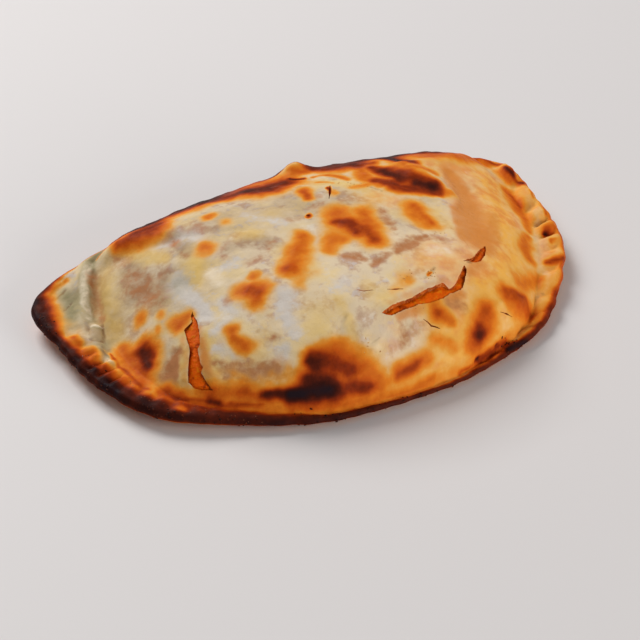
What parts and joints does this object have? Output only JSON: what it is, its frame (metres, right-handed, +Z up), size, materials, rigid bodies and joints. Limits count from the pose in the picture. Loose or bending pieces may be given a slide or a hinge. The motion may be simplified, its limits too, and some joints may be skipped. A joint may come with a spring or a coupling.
{
  "type": "empanada",
  "caption": "Baked half-moon turnover of wheat dough, crimped round its arc, with a filling that shows through two tears in the crust.",
  "frame": {"origin": "on the table under the middle of the plan", "axes": "+X along the length from the left tip to the right tip, +Y towards the fold at the back, +Z up"},
  "size_m": [0.1742, 0.1097, 0.0307],
  "materials": {
    "crust": "baked dough, matt with a slight sheen where it browned",
    "filling": "moist stewed filling"
  },
  "bodies": {
    "root": {"crust": "crust", "filling": "filling"}
  },
  "joints": []
}
